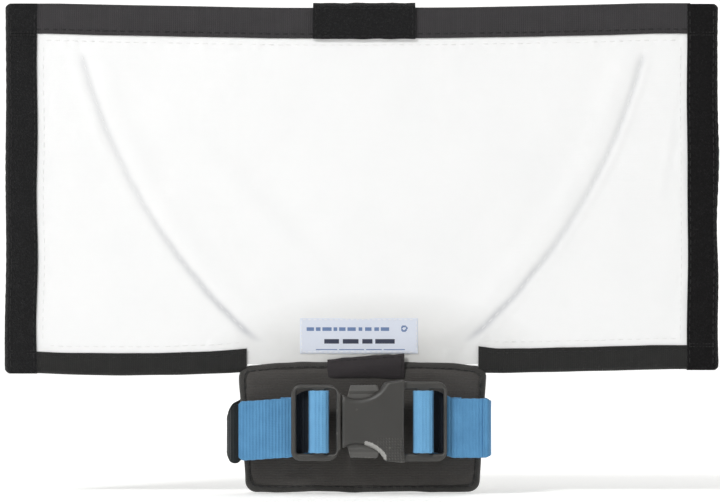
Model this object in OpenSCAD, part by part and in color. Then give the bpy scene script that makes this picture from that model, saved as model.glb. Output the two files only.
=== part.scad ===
// Bendable fabric reflector for an on-camera flash head.
// A soft reflector panel stands on a narrow neck above a padded cuff. A webbing
// loop with a side-release buckle closes round the flash head, in front of the cuff.
// Frame: origin at the centre of the cuff's grip face, +X to the right, +Y to the
// back of the reflector, +Z up. All sizes are in millimetres.

/* [Part] */
// which part to draw, by name, or all of them

/* [Reflector panel] */
// overall width of the panel
panel_w = 254; // [180:1:320]
// height of the panel's top edge above the origin
panel_top = 150.5; // [110:0.5:200]
// height of the wings' lower edge above the origin
wing_bottom = 19.2; // [15:0.1:40]
// height of the centre panel's lower edge, just above the neck
centre_bottom = 28.3; // [24:0.1:45]
// thickness of the panel, skins and liner together
panel_t = 3; // [2:0.1:6]
// thickness of each fabric skin
skin_t = 0.5; // [0.3:0.1:1]
// y of the panel's front skin
panel_y = 1; // [0:0.1:4]

/* [Bindings] */
// height of the tape along the top edge
top_tape = 11.2; // [6:0.1:20]
// height of the tape along the bottom edges
bottom_tape = 8; // [5:0.1:15]
// width of the hook-and-loop strip down each side
side_strip = 11.3; // [8:0.1:25]
// how far a tape stands out of the panel's faces
tape_proud = 0.6; // [0.3:0.1:1.5]

/* [Folds] */
// distance of each inner fold line from the middle
fold_in = 45.5; // [44:0.5:60]
// distance of each outer fold line from the middle
fold_out = 81.5; // [70:0.5:100]
// width of the soft strip at each fold line
fold_w = 3; // [2:0.1:6]
// half the width of the neck
neck_half = 41; // [30:1:50]

/* [Shaping wires] */
// diameter of the shaping wires
wire_d = 1.4; // [1:0.1:3]
// radius that the shaping wires are bent to
wire_bend = 204; // [150:1:300]
// x of the bend's centre, for the right wire
wire_cx = -97.9; // [-150:0.1:-50]
// z of the bend's centre
wire_cz = 183.3; // [150:0.1:250]

/* [Cuff] */
// half the cuff's width near its top
cuff_top_half = 43.1; // [35:0.1:60]
// half the cuff's width near its bottom
cuff_bottom_half = 41.5; // [35:0.1:60]
// height of the cuff's top edge
cuff_top = 23.5; // [15:0.5:40]
// height of the cuff's bottom edge
cuff_bottom = -23; // [-40:0.5:-15]
// corner radius of the cuff
cuff_r = 5; // [2:0.5:10]
// thickness of the cuff
cuff_t = 5; // [3:0.1:10]
// width of the tape sewn round the cuff
cuff_tape = 3; // [2:0.1:6]

/* [Webbing loop] */
// width of the webbing
web_w = 21.7; // [15:0.1:30]
// thickness of the webbing
web_t = 1.3; // [0.8:0.1:2.5]
// y of the webbing's front run
web_y = -9.6; // [-30:0.1:-5]
// height of the front run's middle
web_z = 0.2; // [-5:0.1:5]
// height of the middle of the turns at the cuff's edges
turn_z = 0.2; // [-5:0.1:5]
// how far the left turn bulges past the cuff
turn_left_a = 4.25; // [2:0.05:8]
// how far the right turn bulges past the cuff
turn_right_a = 1.6; // [1.5:0.05:8]

/* [Buckle] */
// height of the buckle's middle
buckle_z = 2.6; // [-5:0.1:8]
// y of the buckle's middle plane
buckle_y = -12.5; // [-30:0.1:-8]
// thickness of the socket
socket_t = 7; // [5:0.1:10]
// thickness of the ladder frames that hold the webbing
frame_t = 4; // [3:0.1:6]
// x of the plug's outer end
plug_x = -25.3; // [-40:0.1:-20]
// x of the socket's outer end
socket_x = 29.9; // [20:0.1:40]
// half the height of the plug's frame
plug_half = 13.9; // [12:0.1:20]
// half the height of the socket at its ears
ear_half = 14.5; // [12:0.1:20]
// how far each prong turns for each millimetre that the socket pulls off, in degrees
prong_turn = 1.4; // [1:0.1:2]

/* [Hidden] */
$fn = 48;
half_w = panel_w / 2;
back_y = panel_y + panel_t;
core_y = panel_y + skin_t;
core_t = panel_t - 2 * skin_t;
gap = fold_w / 2;
in0 = fold_in + gap;
in1 = fold_out - gap;
out0 = fold_out + gap;
strip_x = half_w - side_strip;
tape_y = panel_y - tape_proud;
tape_t = panel_t + 2 * tape_proud;
tuck = 2;
tape_gap = tape_proud + panel_t / 2 + 0.2;
slot_half = web_w / 2 + 0.55;
mouth_x = -7.2;
shoulder_x = -9.4;
bite_r = 10.6;
bite_x = -1.8;
bite_z = 18.7;
cavity_half = 8.8;
cavity_t = 3.4;
pivot_x = -7.6;
prong_end = 6;
bar_half = 2.1;
plug_bar = -15.5;
socket_bar = 21.5;
turn_b = 7.85;
turn_y = web_y + turn_b - 0.05;
back_web_y = cuff_t + 0.4;

// A box given by its two corners.
module span(a, b) {
  translate(a)
    cube(b - a);
}

// The same part on the left side.
module left() {
  mirror([1, 0, 0])
    children();
}

// A flat outline in X and Z, made solid from y0 towards the back by t.
module upright(y0, t) {
  translate([0, y0 + t, 0])
    rotate([90, 0, 0])
      linear_extrude(t)
        children();
}

// ---- cuff ----

// The cuff's outline, inset by d: a little wider at the top, with round corners.
module cuff_outline(d) {
  r = cuff_r - d * 0.8;
  hull() {
    for (s = [-1, 1]) {
      translate([s * (cuff_top_half - d - r), cuff_top - d - r])
        circle(r, $fn = 32);
      translate([s * (cuff_bottom_half - d - r), cuff_bottom + d + r])
        circle(r, $fn = 32);
    }
  }
}

module grip_pad() {
  color([0.2, 0.19, 0.19])
    upright(0, 0.8)
      cuff_outline(cuff_tape);
}

module cuff_foam() {
  color([0.12, 0.12, 0.12])
    upright(0.8, cuff_t - 1.6)
      cuff_outline(cuff_tape);
}

module cuff_back() {
  color([0.1, 0.1, 0.1])
    upright(cuff_t - 0.8, 0.8)
      cuff_outline(cuff_tape);
}

// The tape sewn round the cuff's edge stands a little out of both faces.
module cuff_tape_ring() {
  color([0.25, 0.25, 0.24])
    upright(-0.3, cuff_t + 0.6)
      difference() {
        cuff_outline(0);
        cuff_outline(cuff_tape);
      }
}

// A small fabric flap over the grip face's top edge, with one square end.
module cuff_flap() {
  color([0.27, 0.26, 0.28])
    upright(-1.1, 0.7)
      polygon([[-25.4, 18.5], [14.8, 18.5], [14.8, 25.8], [3, 25.9], [-12, 24.8], [-25.4, 23.7]]);
}

// ---- webbing ----

// The unit normal of a path at point i.
function side_of(p, i) =
  let (d = p[min(i + 1, len(p) - 1)] - p[max(i - 1, 0)])
  [-d[1], d[0]] / norm(d);

// A ribbon of thickness t that follows a path in X and Y, w high, about height z.
module ribbon(p, t, w, z) {
  front = [for (i = [0:len(p) - 1]) p[i] + side_of(p, i) * t / 2];
  rear = [for (i = [len(p) - 1:-1:0]) p[i] - side_of(p, i) * t / 2];
  translate([0, 0, z - w / 2])
    linear_extrude(w)
      polygon(concat(front, rear));
}

// The turn at the cuff's edge, from the front run round to the back run.
function turn_path(a, k) =
  concat([[43, turn_y - turn_b]],
         [for (q = [0:10:180]) [43.3 + a * pow(sin(q), k), turn_y - turn_b * cos(q)]],
         [[43, turn_y + turn_b]]);

// How the webbing runs round a ladder bar: behind the outer limb, up, over the bar,
// down, and back along the run as a tail. x counts from the bar's middle.
bar_path = [[-10.5, -9.6], [-4.4, -9.6], [-3.3, -10.3], [-3, -11.4], [-3, -14],
            [-2.65, -15.05], [-1.6, -15.4], [1.6, -15.4], [2.65, -15.05], [3, -14],
            [3, -10.6], [2.4, -9.2], [1.2, -8.15], [-14.5, -8.15]];

module web_back() {
  color([0.06, 0.07, 0.08])
    span([-43, back_web_y, turn_z - web_w / 2], [43, back_web_y + web_t, turn_z + web_w / 2]);
}

module turn_left() {
  color([0.05, 0.1, 0.12])
    left()
      ribbon(turn_path(turn_left_a, 0.7), web_t, web_w, turn_z);
}

module turn_right() {
  color([0.24, 0.44, 0.6])
    ribbon(turn_path(turn_right_a, 0.5), web_t, web_w, turn_z);
}

module web_left() {
  color([0.35, 0.55, 0.69])
    ribbon([[-43, web_y], [plug_bar - 10.5, web_y]], web_t, web_w, web_z);
}

module web_right() {
  color([0.24, 0.44, 0.6])
    ribbon([[socket_bar + 10.5, web_y], [43, web_y]], web_t, web_w, web_z);
}

module loop_left() {
  color([0.33, 0.57, 0.76])
    ribbon([for (p = bar_path) [plug_bar + p[0], p[1]]], web_t, web_w, buckle_z);
}

module loop_right() {
  color([0.33, 0.57, 0.76])
    ribbon([for (p = bar_path) [socket_bar - p[0], p[1]]], web_t, web_w, buckle_z);
}

// ---- side-release buckle ----

// A rounded rectangle from x0 to x1, h high on each side of the middle.
module round_rect(x0, x1, h, r) {
  hull() {
    for (x = [x0 + r, x1 - r], z = [-h + r, h - r]) {
      translate([x, z])
        circle(r, $fn = 32);
    }
  }
}

// The round bites in both sides, where the prongs are pressed.
module bites() {
  for (s = [-1, 1]) {
    translate([bite_x, s * bite_z])
      circle(bite_r, $fn = 96);
  }
}

// The two slots either side of a ladder bar, between xa and xb.
module bar_slots(xa, xb, bar) {
  for (e = [[xa, bar - bar_half], [bar + bar_half, xb]]) {
    translate([e[0], -slot_half])
      square([e[1] - e[0], 2 * slot_half]);
  }
}

// The plug: a ladder frame, a shoulder and the guide tongue between the prongs.
module buckle_plug() {
  color([0.27, 0.27, 0.26])
    translate([0, 0, buckle_z]) {
      upright(buckle_y - frame_t / 2, frame_t)
        difference() {
          union() {
            round_rect(plug_x, shoulder_x + 0.6, plug_half, 3);
            difference() {
              translate([shoulder_x - 3, -11.6])
                square([mouth_x - 0.2 - shoulder_x + 3, 23.2]);
              bites();
            }
          }
          bar_slots(plug_x + 1.9, shoulder_x, plug_bar);
        }
      span([mouth_x - 0.6, buckle_y - 1.2, -2], [4, buckle_y + 1.2, 2]);
    }
}

// The prong's outer edge at distance s from its root, shaped so that it slips past
// the socket's mouth as it is pressed in.
function prong_edge(s) = 8.6 + max(0, s * prong_turn * PI / 180 * (s - 2.2)) * 0.97;

prong_len = prong_end - pivot_x;
prong_outer = [for (s = [0.8:0.75:prong_len], q = [prong_edge(s)]) [pivot_x + s, q]];

module prong() {
  inner = [for (i = [len(prong_outer) - 1:-1:0])
    let (p = prong_outer[i], u = (p[0] - pivot_x) / prong_len)
    [p[0], p[1] - 2.3 - 1.2 * u * u]];
  upright(buckle_y - 1.4, 2.8)
    polygon(concat(prong_outer, inner));
}

module prong_top() {
  color([0.24, 0.24, 0.24])
    translate([0, 0, buckle_z])
      prong();
}

module prong_bottom() {
  color([0.24, 0.24, 0.24])
    translate([0, 0, buckle_z])
      mirror([0, 0, 1])
        prong();
}

// The socket: a flat box with a mouth, two side windows, two ears and a ladder frame.
module buckle_socket() {
  body_end = socket_bar - bar_half - 4.3;
  color([0.28, 0.27, 0.26])
    translate([0, 0, buckle_z])
      difference() {
        union() {
          upright(buckle_y - socket_t / 2, socket_t)
            difference() {
              hull() {
                translate([mouth_x, -11.6])
                  square([1, 23.2]);
                round_rect(6, body_end, ear_half, 1.4);
              }
              bites();
            }
          upright(buckle_y - frame_t / 2, frame_t)
            difference() {
              round_rect(body_end - 3, socket_x, ear_half - 0.3, 3);
              bar_slots(body_end, socket_x - 1.3, socket_bar);
            }
        }
        span([mouth_x - 1, buckle_y - cavity_t / 2, -cavity_half],
             [7.6, buckle_y + cavity_t / 2, cavity_half]);
        span([-4.6, buckle_y - cavity_t / 2, -20], [6.5, buckle_y + cavity_t / 2, 20]);
      }
}

// ---- reflector panel ----

// The shaping wire's slot and the wire itself follow one bend, from x0 to x1.
function wire_angle(x) = -acos((x - wire_cx) / wire_bend);

module wire(x0, x1, d) {
  a0 = wire_angle(x0);
  a1 = wire_angle(x1);
  translate([wire_cx, panel_y + panel_t / 2, wire_cz])
    rotate([90, 0, 0])
      rotate([0, 0, a0])
        rotate_extrude(angle = a1 - a0, $fn = 240)
          translate([wire_bend, 0])
            circle(d = d, $fn = 16);
}

module skin(x0, x1, z0, z1, y) {
  span([x0, y, z0], [x1, y + skin_t, z1]);
}

// The foam liner between the skins, with the wire's channel through it.
module liner(x0, x1, z0, z1, w0, w1) {
  difference() {
    span([x0, core_y, z0], [x1, core_y + core_t, z1]);
    wire(w0, w1, wire_d + 0.1);
  }
}

// A folded tape over an edge: opens downwards for the top, upwards for the bottom.
module top_tape_piece(x0, x1) {
  difference() {
    span([x0, tape_y, panel_top - top_tape], [x1, tape_y + tape_t, panel_top]);
    span([x0 - 1, panel_y, 0], [x1 + 1, back_y, panel_top - tuck]);
  }
}

module bottom_tape_piece(x0, x1) {
  difference() {
    span([x0, tape_y, wing_bottom], [x1, tape_y + tape_t, wing_bottom + bottom_tape]);
    span([x0 - 1, panel_y, wing_bottom + tuck], [x1 + 1, back_y, 200]);
  }
}

module side_strip_piece() {
  difference() {
    span([strip_x, tape_y, wing_bottom], [half_w, tape_y + tape_t, panel_top]);
    span([0, panel_y, wing_bottom + tuck], [half_w - tuck, back_y, panel_top - tuck]);
  }
}

c_in = fold_in - gap;
z_top = panel_top - tuck;
z_low = wing_bottom + tuck;

// The neck's own fabric, between the cuff and the panel.
module neck_web() {
  color([0.88, 0.88, 0.88])
    span([-neck_half, panel_y, cuff_top], [neck_half, back_y, centre_bottom]);
}

module centre_front() {
  color([0.97, 0.97, 0.97])
    skin(-c_in, c_in, centre_bottom, z_top, panel_y);
}

module centre_back() {
  color([0.08, 0.08, 0.08])
    skin(-c_in, c_in, centre_bottom, z_top, back_y - skin_t);
}

module centre_liner() {
  color([0.9, 0.9, 0.88])
    difference() {
      span([-c_in, core_y, centre_bottom], [c_in, core_y + core_t, z_top]);
      wire(38, c_in + 0.5, wire_d + 0.1);
      left()
        wire(38, c_in + 0.5, wire_d + 0.1);
    }
}

module centre_top_tape() {
  color([0.25, 0.25, 0.24])
    top_tape_piece(tape_gap - fold_in, fold_in - tape_gap);
}

// The hook-and-loop patch on the middle of the top tape.
module top_patch() {
  color([0.14, 0.14, 0.14])
    span([-17.6, tape_y - 0.9, panel_top - top_tape], [18.8, tape_y, panel_top + 1]);
}

module label() {
  color([0.75, 0.8, 0.84])
    span([-22.2, panel_y - 0.4, 27], [19.7, panel_y, 39.1]);
}

module wire_root() {
  color([0.6, 0.6, 0.62])
    wire(38.4, c_in - 0.8, wire_d);
}

module fold_strip(x) {
  color([0.94, 0.94, 0.94])
    span([x - gap, panel_y, wing_bottom], [x + gap, back_y, panel_top]);
}

module inner_front() {
  color([0.96, 0.96, 0.96])
    skin(in0, in1, z_low, z_top, panel_y);
}

module inner_back() {
  color([0.08, 0.08, 0.08])
    skin(in0, in1, z_low, z_top, back_y - skin_t);
}

module inner_liner() {
  color([0.9, 0.9, 0.88])
    liner(in0, in1, z_low, z_top, in0 - 0.5, in1 + 0.5);
}

module inner_top_tape() {
  color([0.25, 0.25, 0.24])
    top_tape_piece(fold_in + tape_gap, fold_out - tape_gap);
}

module inner_bottom_tape() {
  color([0.2, 0.2, 0.2])
    bottom_tape_piece(fold_in + tape_gap, fold_out - tape_gap);
}

module inner_wire() {
  color([0.6, 0.6, 0.62])
    wire(in0 + 0.8, in1 - 0.8, wire_d);
}

module outer_front() {
  color([0.95, 0.95, 0.95])
    skin(out0, half_w - tuck, z_low, z_top, panel_y);
}

module outer_back() {
  color([0.08, 0.08, 0.08])
    skin(out0, half_w - tuck, z_low, z_top, back_y - skin_t);
}

module outer_liner() {
  color([0.9, 0.9, 0.88])
    liner(out0, half_w - tuck, z_low, z_top, out0 - 0.5, 101);
}

module outer_top_tape() {
  color([0.25, 0.25, 0.24])
    top_tape_piece(fold_out + tape_gap, strip_x);
}

module outer_bottom_tape() {
  color([0.2, 0.2, 0.2])
    bottom_tape_piece(fold_out + tape_gap, strip_x);
}

module side_strip_node() {
  color([0.12, 0.12, 0.12])
    side_strip_piece();
}

module outer_wire() {
  color([0.6, 0.6, 0.62])
    wire(out0 + 0.8, 100.5, wire_d);
}

grip_pad();
cuff_foam();
cuff_back();
cuff_tape_ring();
cuff_flap();
web_back();
turn_left();
turn_right();
web_left();
loop_left();
buckle_plug();
prong_top();
prong_bottom();
buckle_socket();
web_right();
loop_right();
neck_web();
centre_front();
centre_liner();
centre_back();
centre_top_tape();
top_patch();
label();
left() wire_root();  // left_wire_root
wire_root();  // right_wire_root
left() fold_strip(fold_in);  // left_fold_strip
fold_strip(fold_in);  // right_fold_strip
left() fold_strip(fold_out);  // left_outer_fold_strip
fold_strip(fold_out);  // right_outer_fold_strip
left() inner_front();  // left_inner_front
left() inner_liner();  // left_inner_liner
left() inner_back();  // left_inner_back
left() inner_top_tape();  // left_inner_top_tape
left() inner_bottom_tape();  // left_inner_bottom_tape
left() inner_wire();  // left_inner_wire
inner_front();  // right_inner_front
inner_liner();  // right_inner_liner
inner_back();  // right_inner_back
inner_top_tape();  // right_inner_top_tape
inner_bottom_tape();  // right_inner_bottom_tape
inner_wire();  // right_inner_wire
left() outer_front();  // left_outer_front
left() outer_liner();  // left_outer_liner
left() outer_back();  // left_outer_back
left() outer_top_tape();  // left_outer_top_tape
left() outer_bottom_tape();  // left_outer_bottom_tape
left() side_strip_node();  // left_side_strip
left() outer_wire();  // left_outer_wire
outer_front();  // right_outer_front
outer_liner();  // right_outer_liner
outer_back();  // right_outer_back
outer_top_tape();  // right_outer_top_tape
outer_bottom_tape();  // right_outer_bottom_tape
side_strip_node();  // right_side_strip
outer_wire();  // right_outer_wire
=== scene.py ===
"""Bendable fabric flash reflector: the looks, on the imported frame. Lengths are in mm until Build.object()."""
import math

import bmesh
import bpy
import numpy as np
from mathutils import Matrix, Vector


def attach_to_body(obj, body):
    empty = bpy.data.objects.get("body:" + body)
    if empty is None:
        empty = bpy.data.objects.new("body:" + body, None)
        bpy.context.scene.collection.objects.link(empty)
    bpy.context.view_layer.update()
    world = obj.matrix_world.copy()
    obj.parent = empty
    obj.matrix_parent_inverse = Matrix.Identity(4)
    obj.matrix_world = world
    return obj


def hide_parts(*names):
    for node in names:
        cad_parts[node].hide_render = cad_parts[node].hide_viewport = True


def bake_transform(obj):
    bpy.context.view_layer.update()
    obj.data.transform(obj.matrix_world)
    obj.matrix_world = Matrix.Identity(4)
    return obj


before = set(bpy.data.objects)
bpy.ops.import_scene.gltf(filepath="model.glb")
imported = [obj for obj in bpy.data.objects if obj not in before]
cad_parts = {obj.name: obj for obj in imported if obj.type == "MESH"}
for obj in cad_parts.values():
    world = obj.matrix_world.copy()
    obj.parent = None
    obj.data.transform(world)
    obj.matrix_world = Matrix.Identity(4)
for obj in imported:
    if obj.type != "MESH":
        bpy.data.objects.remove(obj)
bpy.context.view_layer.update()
MM = 0.001
MID = 2.5  # y of the panel's middle plane
HALF = 127.0  # half the panel's width
WIRE_R, WIRE_X, WIRE_Z = 204.0, -97.9, 183.3  # each shaping wire is an arc about (+-WIRE_X, WIRE_Z)
FLOOR_Z = -0.0234  # in metres, just under the cuff


# ---------------------------------------------------------------- materials

def srgb(r, g, b):
    def lin(c):
        c /= 255
        return c / 12.92 if c <= 0.04045 else ((c + 0.055) / 1.055) ** 2.4
    return (lin(r), lin(g), lin(b), 1)


class Nodes:
    """A material's nodes, made with short calls."""

    def __init__(self, name):
        self.m = bpy.data.materials.new(name)
        self.m.use_nodes = True
        self.t = self.m.node_tree
        self.bsdf = self.t.nodes["Principled BSDF"]

    def new(self, kind, **values):
        n = self.t.nodes.new("ShaderNode" + kind)
        for k, v in values.items():
            if hasattr(n, k):
                setattr(n, k, v)
            else:
                n.inputs[k.replace("_", " ")].default_value = v
        return n

    def link(self, a, b):
        self.t.links.new(a, b)

    def math(self, op, a, b=None, clamp=False):
        n = self.new("Math", operation=op, use_clamp=clamp)
        for i, v in enumerate((a, b)):
            if v is None:
                continue
            if isinstance(v, (int, float)):
                n.inputs[i].default_value = v
            else:
                self.link(v, n.inputs[i])
        return n.outputs[0]

    def add(self, a, b, clamp=False):
        return self.math("ADD", a, b, clamp)

    def sub(self, a, b, clamp=False):
        return self.math("SUBTRACT", a, b, clamp)

    def mul(self, a, b, clamp=False):
        return self.math("MULTIPLY", a, b, clamp)

    def power(self, a, b):
        return self.math("POWER", a, b)

    def mix(self, fac, a, b):
        n = self.new("Mix", data_type="RGBA")
        for i, v in ((0, fac), (6, a), (7, b)):
            if hasattr(v, "is_output"):
                self.link(v, n.inputs[i])
            else:
                n.inputs[i].default_value = v
        return n.outputs[2]

    def ramp(self, value, lo, hi):
        n = self.new("MapRange")
        self.link(value, n.inputs[0])
        n.inputs[1].default_value, n.inputs[2].default_value = lo, hi
        return n.outputs[0]

    def uv(self, su=1.0, sv=1.0):
        """UV in mm along and across, scaled; returns (vector, u, v)."""
        c = self.new("TexCoord")
        mp = self.new("Mapping")
        mp.inputs["Scale"].default_value = (su, sv, 1)
        self.link(c.outputs["UV"], mp.inputs[0])
        s = self.new("SeparateXYZ")
        self.link(mp.outputs[0], s.inputs[0])
        return mp.outputs[0], s.outputs[0], s.outputs[1]

    def noise(self, vector, scale, detail=3, rough=0.55):
        n = self.new("TexNoise", Scale=scale, Detail=detail, Roughness=rough)
        self.link(vector, n.inputs["Vector"])
        return n.outputs[0]

    def sine(self, value, pitch):
        """0 to 1, one wave for each pitch."""
        wave = self.math("SINE", self.mul(value, 2 * math.pi / pitch))
        return self.add(self.mul(wave, 0.5), 0.5)

    def bump(self, height, strength, distance):
        n = self.new("Bump", Strength=strength, Distance=distance * MM)
        self.link(height, n.inputs["Height"])
        return n.outputs[0]

    def done(self, color, rough, normal=None, **more):
        for key, v in (("Base Color", color), ("Roughness", rough), ("Normal", normal)):
            if v is None:
                continue
            if hasattr(v, "is_output"):
                self.link(v, self.bsdf.inputs[key])
            else:
                self.bsdf.inputs[key].default_value = v
        for k, v in more.items():
            self.bsdf.inputs[k.replace("_", " ")].default_value = v
        return self.m


def paler(color, times, plus=0.02):
    """That colour, lighter by a factor and a little more."""
    return [min(1, times * c + plus) for c in color[:3]] + [1]


def woven(name, color, dark, pitch, rough=0.7, height=0.05, sheen=0.12, mottle=0.25, fuzz=0.0,
          painted_neck_shade=None, wire=None):
    """Plain weave: threads pitch mm apart, over and under, with uneven yarn."""
    k = Nodes(name)
    vec, u, v = k.uv()
    wob = k.mul(k.noise(vec, 0.35, 2), 0.9)
    a = k.sine(k.add(u, wob), pitch)
    b = k.sine(k.add(v, wob), pitch)
    cell = k.mul(k.sine(u, 2 * pitch), k.sine(v, 2 * pitch))
    h = k.add(k.math("MAXIMUM", k.mul(a, cell), b), k.mul(k.noise(vec, 2.3, 4), 0.5))
    broad = k.ramp(k.noise(vec, 0.05, 4, 0.6), 0.3, 0.7)
    fine = k.ramp(k.noise(vec, 1.7, 3), 0.25, 0.75)
    col = k.mix(k.mul(broad, mottle), color, dark)
    # painted shade: darker where the weave lies low between threads
    col = k.mix(k.mul(k.sub(1.0, k.mul(h, 0.6)), 0.35), col, dark)
    if fuzz:
        col = k.mix(k.mul(fine, fuzz), col, paler(color, 3))
    if painted_neck_shade:
        # painted shade: greyed a little round one place, near the neck
        grey, u0, v0, su, sv, most = painted_neck_shade
        far = k.power(k.mul(k.sub(u, u0), 1 / su), 2.0)
        far = k.add(far, k.power(k.mul(k.sub(v, v0), 1 / sv), 2.0))
        near = k.sub(1.0, k.math("SQRT", far), clamp=True)
        near = k.mul(near, k.add(0.75, k.mul(k.noise(vec, 0.09, 3), 0.5)))
        col = k.mix(k.mul(near, most, clamp=True), col, grey)
    if wire:
        # painted shade: a faint grey line along the shaping wire's sewn channel, stronger towards the bottom
        cx, cz, radius, z0, z1, grey = wire
        a = k.power(k.sub(k.math("ABSOLUTE", u), cx), 2.0)
        d = k.math("SQRT", k.add(a, k.power(k.sub(v, cz), 2.0)))
        d = k.add(k.sub(d, radius), k.mul(k.sub(k.noise(vec, 0.12, 2), 0.5), 1.2))
        line = k.math("EXPONENT", k.mul(k.power(k.mul(d, 1 / 1.35), 2.0), -1.0))
        ends = k.mul(k.ramp(v, z0, z0 + 4), k.ramp(v, z1, z1 - 4))
        low = k.add(0.45, k.mul(k.ramp(v, 75, 30), 0.5))
        col = k.mix(k.mul(k.mul(line, ends), low), col, grey)
    return k.done(col, rough, k.bump(h, 0.8, height), Sheen_Weight=sheen, Sheen_Roughness=0.5,
                  Specular_IOR_Level=0.18)


def ribbed(name, color, dark, pitch, height=0.12, mottle=0.4, cut=0.4):
    """Grosgrain or webbing: ribs across it, crossed by fine warp threads."""
    k = Nodes(name)
    vec, u, v = k.uv()
    wob = k.mul(k.noise(vec, 0.5, 2), 0.3)
    rib = k.sine(k.add(u, wob), pitch)
    warp = k.sine(v, 0.62)
    h = k.add(k.add(rib, k.mul(warp, 0.5)), k.mul(k.noise(vec, 3.1, 4), 0.5))
    shade = k.ramp(k.noise(vec, 0.11, 4, 0.6), 0.3, 0.72)
    col = k.mix(k.mul(shade, mottle), color, dark)
    # long streaks where the yarn took the dye unevenly
    streak = k.ramp(k.noise(k.uv(0.9, 0.02)[0], 0.8, 3), 0.35, 0.7)
    col = k.mix(k.mul(streak, 0.3), col, dark)
    # painted shade: darker in the grooves between the ribs, by cut
    col = k.mix(k.mul(k.sub(1.0, rib), cut), col, dark)
    fib = k.ramp(k.noise(vec, 4.0, 2), 0.55, 0.8)
    col = k.mix(k.mul(fib, 0.18), col, paler(color, 1.9))
    return k.done(col, 0.65, k.bump(h, 0.9, height), Sheen_Weight=0.12, Sheen_Roughness=0.45,
                  Specular_IOR_Level=0.2)


def pile(name, color, tip, cell, height):
    """Hook or loop pile: small dark cells with paler tips."""
    k = Nodes(name)
    vec = k.uv()[0]
    vor = k.new("TexVoronoi", Scale=1 / cell)
    k.link(vec, vor.inputs["Vector"])
    d = vor.outputs["Distance"]
    fuzz = k.noise(vec, 2.6, 5, 0.7)
    h = k.add(k.sub(1.0, d), k.mul(fuzz, 0.9))
    patch = k.ramp(k.noise(vec, 0.16, 4, 0.65), 0.35, 0.7)
    # painted shade and light: darker deep in the pile, paler at its highest tips
    col = k.mix(k.mul(k.ramp(h, 0.95, 1.5), k.add(0.25, k.mul(patch, 0.75))), color, tip)
    return k.done(col, 0.95, k.bump(h, 1.0, height), Sheen_Weight=0.1, Sheen_Roughness=0.6,
                  Specular_IOR_Level=0.1)


def plastic(name, color, worn, rough=0.42):
    """Moulded plastic with a fine spark-eroded grain, faint flow marks and rubbed edges."""
    k = Nodes(name)
    place = k.new("TexCoord").outputs["Object"]
    grain = k.noise(place, 5200, 3, 0.6)
    broad = k.noise(place, 130, 4, 0.6)
    edge = k.ramp(k.new("NewGeometry").outputs["Pointiness"], 0.51, 0.57)
    rub = k.mul(edge, k.ramp(broad, 0.35, 0.65))
    col = k.mix(k.mul(rub, 0.75), color, worn)
    col = k.mix(k.mul(k.ramp(broad, 0.3, 0.75), 0.22), col, paler(color, 1.5, 0))
    r = k.add(rough - 0.08, k.mul(broad, 0.2))
    return k.done(col, r, k.bump(grain, 0.35, 0.03), Specular_IOR_Level=0.45)


# the white nylon carries painted shade: greyer round the neck, and a faint grey line along each wire's channel
WHITE = woven("white_nylon", srgb(240, 240, 240), srgb(231, 232, 233), 0.42, rough=0.5,
              height=0.02, sheen=0.05, mottle=0.25,
              painted_neck_shade=(srgb(190, 190, 187), 6, 19, 66, 30, 0.95),
              wire=(WIRE_X, WIRE_Z, WIRE_R, 30, 134, srgb(196, 197, 200)))
BACK = woven("black_nylon", srgb(34, 34, 35), srgb(20, 20, 21), 0.5, height=0.04,
             mottle=0.5, fuzz=0.1)
# the bottom tapes take a darker copy of the top tapes' grosgrain: painted shade, as the light falls from above
TAPE = ribbed("black_grosgrain", srgb(60, 58, 60), srgb(40, 39, 40), 0.75, height=0.06)
TAPE_SHADED = ribbed("black_grosgrain_shaded", srgb(40, 40, 39), srgb(20, 20, 20), 0.75, height=0.06)
CUFF_TAPE = ribbed("cuff_tape", srgb(62, 61, 59), srgb(42, 41, 40), 0.8, height=0.06)
# the hook pile is much darker than the loop: partly its own pile, partly painted shade on the right, away from
# the light
HOOK_SHADED = pile("hook_pile_shaded", srgb(8, 7, 8), srgb(30, 29, 30), 0.85, 0.35)
LOOP = pile("loop_pile", srgb(22, 22, 23), srgb(48, 48, 49), 0.6, 0.3)
BLUE = ribbed("blue_webbing", srgb(92, 150, 194), srgb(64, 114, 156), 1.15, height=0.07, mottle=0.55,
              cut=0.15)
# a paler copy of the blue webbing for where it stands forward over the bar: painted light
BLUE_LIT = ribbed("blue_webbing_lit", srgb(112, 170, 212), srgb(84, 138, 182), 1.15, height=0.1,
                   mottle=0.4, cut=0.2)
# a near-black copy of the blue webbing for where it runs through the frames' slots: painted shade
BLUE_SHADED = ribbed("blue_webbing_shaded", srgb(16, 26, 38), srgb(8, 12, 18), 1.15, height=0.12)
BLACKWEB = ribbed("black_webbing", srgb(18, 26, 29), srgb(10, 14, 16), 1.15, height=0.12)
PLASTIC = plastic("buckle_plastic", srgb(54, 53, 51), srgb(104, 102, 98))
# painted light: the prong pads are a lighter copy of the buckle plastic
PAD_LIT = plastic("buckle_pad_lit", srgb(78, 77, 75), srgb(120, 118, 114))
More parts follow.
